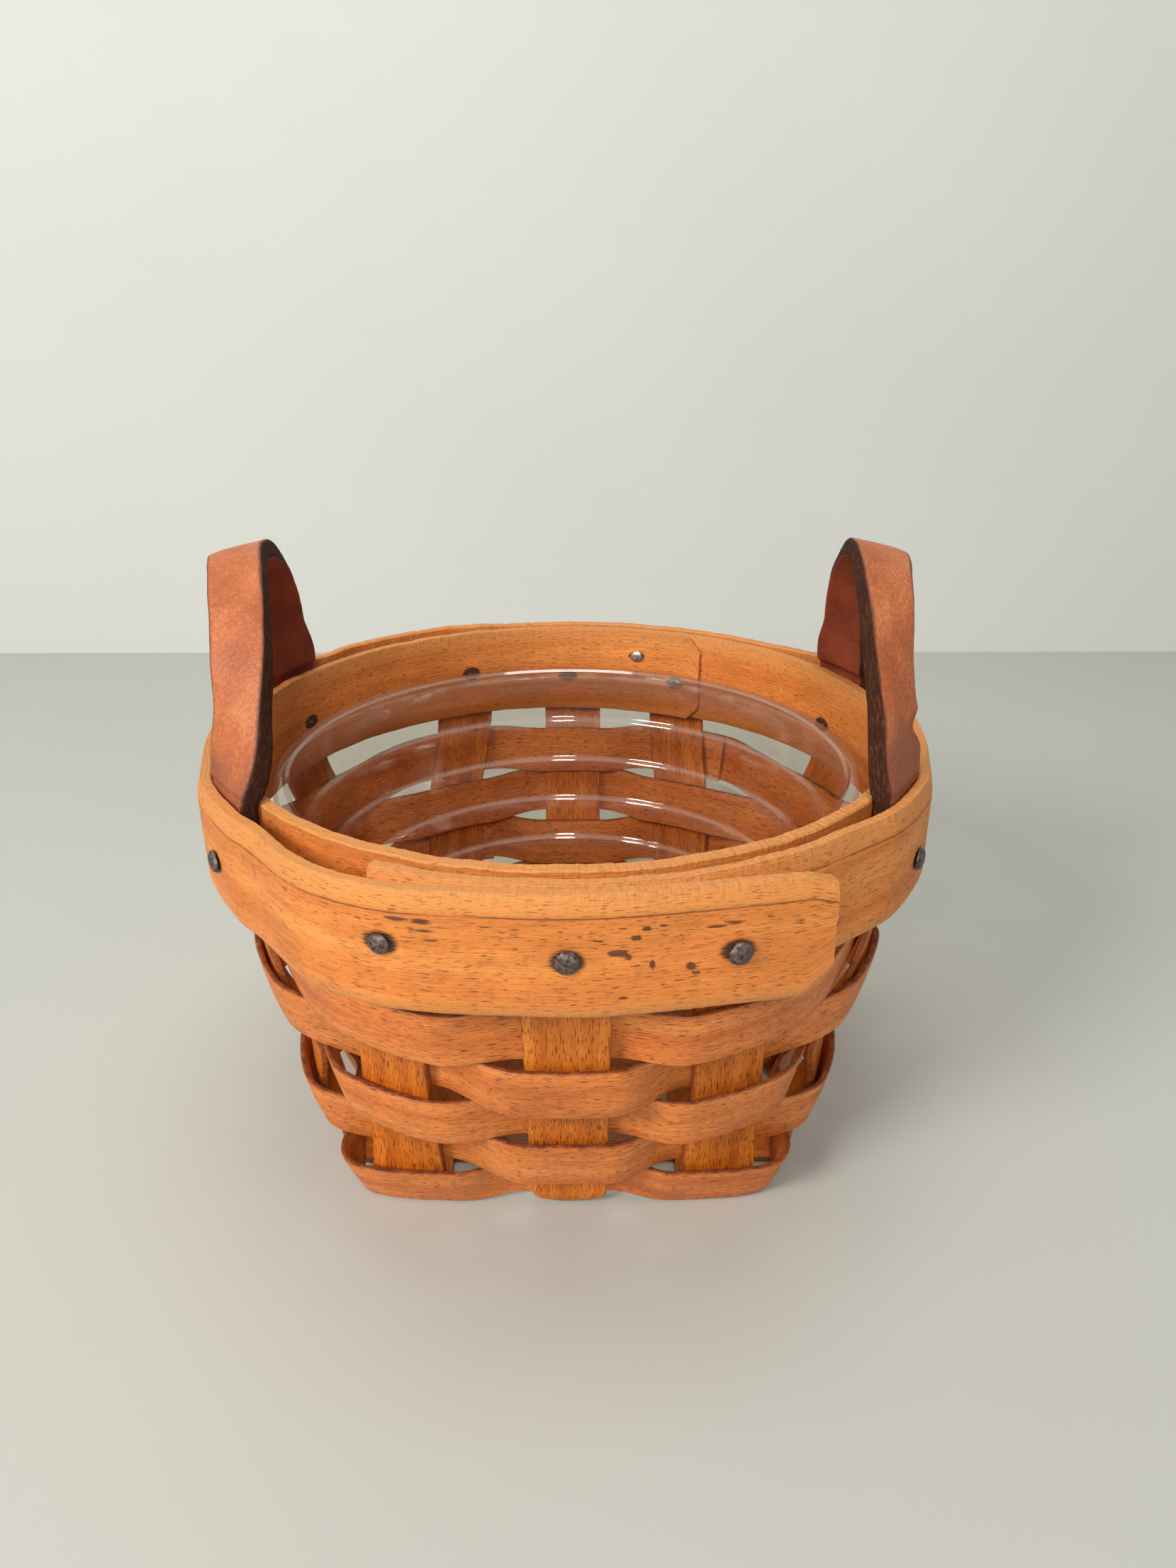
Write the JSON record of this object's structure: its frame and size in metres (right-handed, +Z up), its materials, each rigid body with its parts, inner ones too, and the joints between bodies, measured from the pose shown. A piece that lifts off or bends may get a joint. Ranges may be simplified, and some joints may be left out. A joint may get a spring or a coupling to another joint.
{
  "type": "splint basket",
  "caption": "Small woven wood-splint basket, square floor rising to a round nailed rim, with upright leather strap ears and a stepped clear liner that lifts out.",
  "frame": {"origin": "underside of the plaited floor, under the middle of the basket", "axes": "+Z up out of the mouth; the front with the lapped rim end faces -Y; the leather ears stand on -X and +X"},
  "size_m": [0.1511, 0.154, 0.1255],
  "materials": {
    "wall_splints": "stained hardwood splints, satin",
    "weavers": "stained hardwood splints, satin",
    "rim_hoops": "stained bent hardwood, satin",
    "leather_ears": "tan leather, rough dark edges",
    "iron_tacks": "dark hammered",
    "bright_nail": "bright",
    "clear_liner": "clear glossy moulded plastic"
  },
  "bodies": {
    "basket": {"splint_front_back_left": "wall_splints", "splint_front_back_middle": "wall_splints", "splint_front_back_right": "wall_splints", "splint_left_right_front": "wall_splints", "splint_left_right_middle": "wall_splints", "splint_left_right_back": "wall_splints", "weaver_row_1": "weavers", "weaver_row_2": "weavers", "weaver_row_3": "weavers", "weaver_row_4": "weavers", "weaver_row_5": "weavers", "inner_hoop": "rim_hoops", "outer_hoop": "rim_hoops", "ear_left_front_tab": "leather_ears", "ear_left_back_tab": "leather_ears", "ear_right_front_tab": "leather_ears", "ear_right_back_tab": "leather_ears", "tack_front_left": "iron_tacks", "tack_front_middle": "iron_tacks", "tack_front_right": "iron_tacks", "tack_right_front_leg": "iron_tacks", "tack_right_middle": "iron_tacks", "tack_right_back_leg": "iron_tacks", "tack_back_right": "iron_tacks", "tack_back_middle": "iron_tacks", "tack_back_left": "iron_tacks", "tack_left_back_leg": "iron_tacks", "tack_left_middle": "iron_tacks", "tack_left_front_leg": "iron_tacks", "nail_inside_back": "bright_nail"},
    "ear_left": {"ear_left_loop": "leather_ears"},
    "ear_right": {"ear_right_loop": "leather_ears"},
    "liner": {"liner": "clear_liner"}
  },
  "joints": [
    {"name": "liner_lift", "type": "slide", "parent": "basket", "child": "liner", "axis": [0, 0, 1], "range_m": [0, 0.125]},
    {"name": "ear_left_flex", "type": "hinge", "parent": "basket", "child": "ear_left", "pos_m": [-0.0627, -0.0043, 0.088], "axis": [0.097, -0.9953, 0], "range_deg": [-5, 30], "stiffness_Nm_per_rad": 0.05},
    {"name": "ear_right_flex", "type": "hinge", "parent": "basket", "child": "ear_right", "pos_m": [0.0627, -0.0031, 0.088], "axis": [0.078, 0.997, 0], "range_deg": [-5, 30], "stiffness_Nm_per_rad": 0.05}
  ],
  "couplings": [
    {"joint": "ear_left_flex", "follows": "liner_lift", "rad_per_m": 4},
    {"joint": "ear_right_flex", "follows": "liner_lift", "rad_per_m": 4}
  ]
}
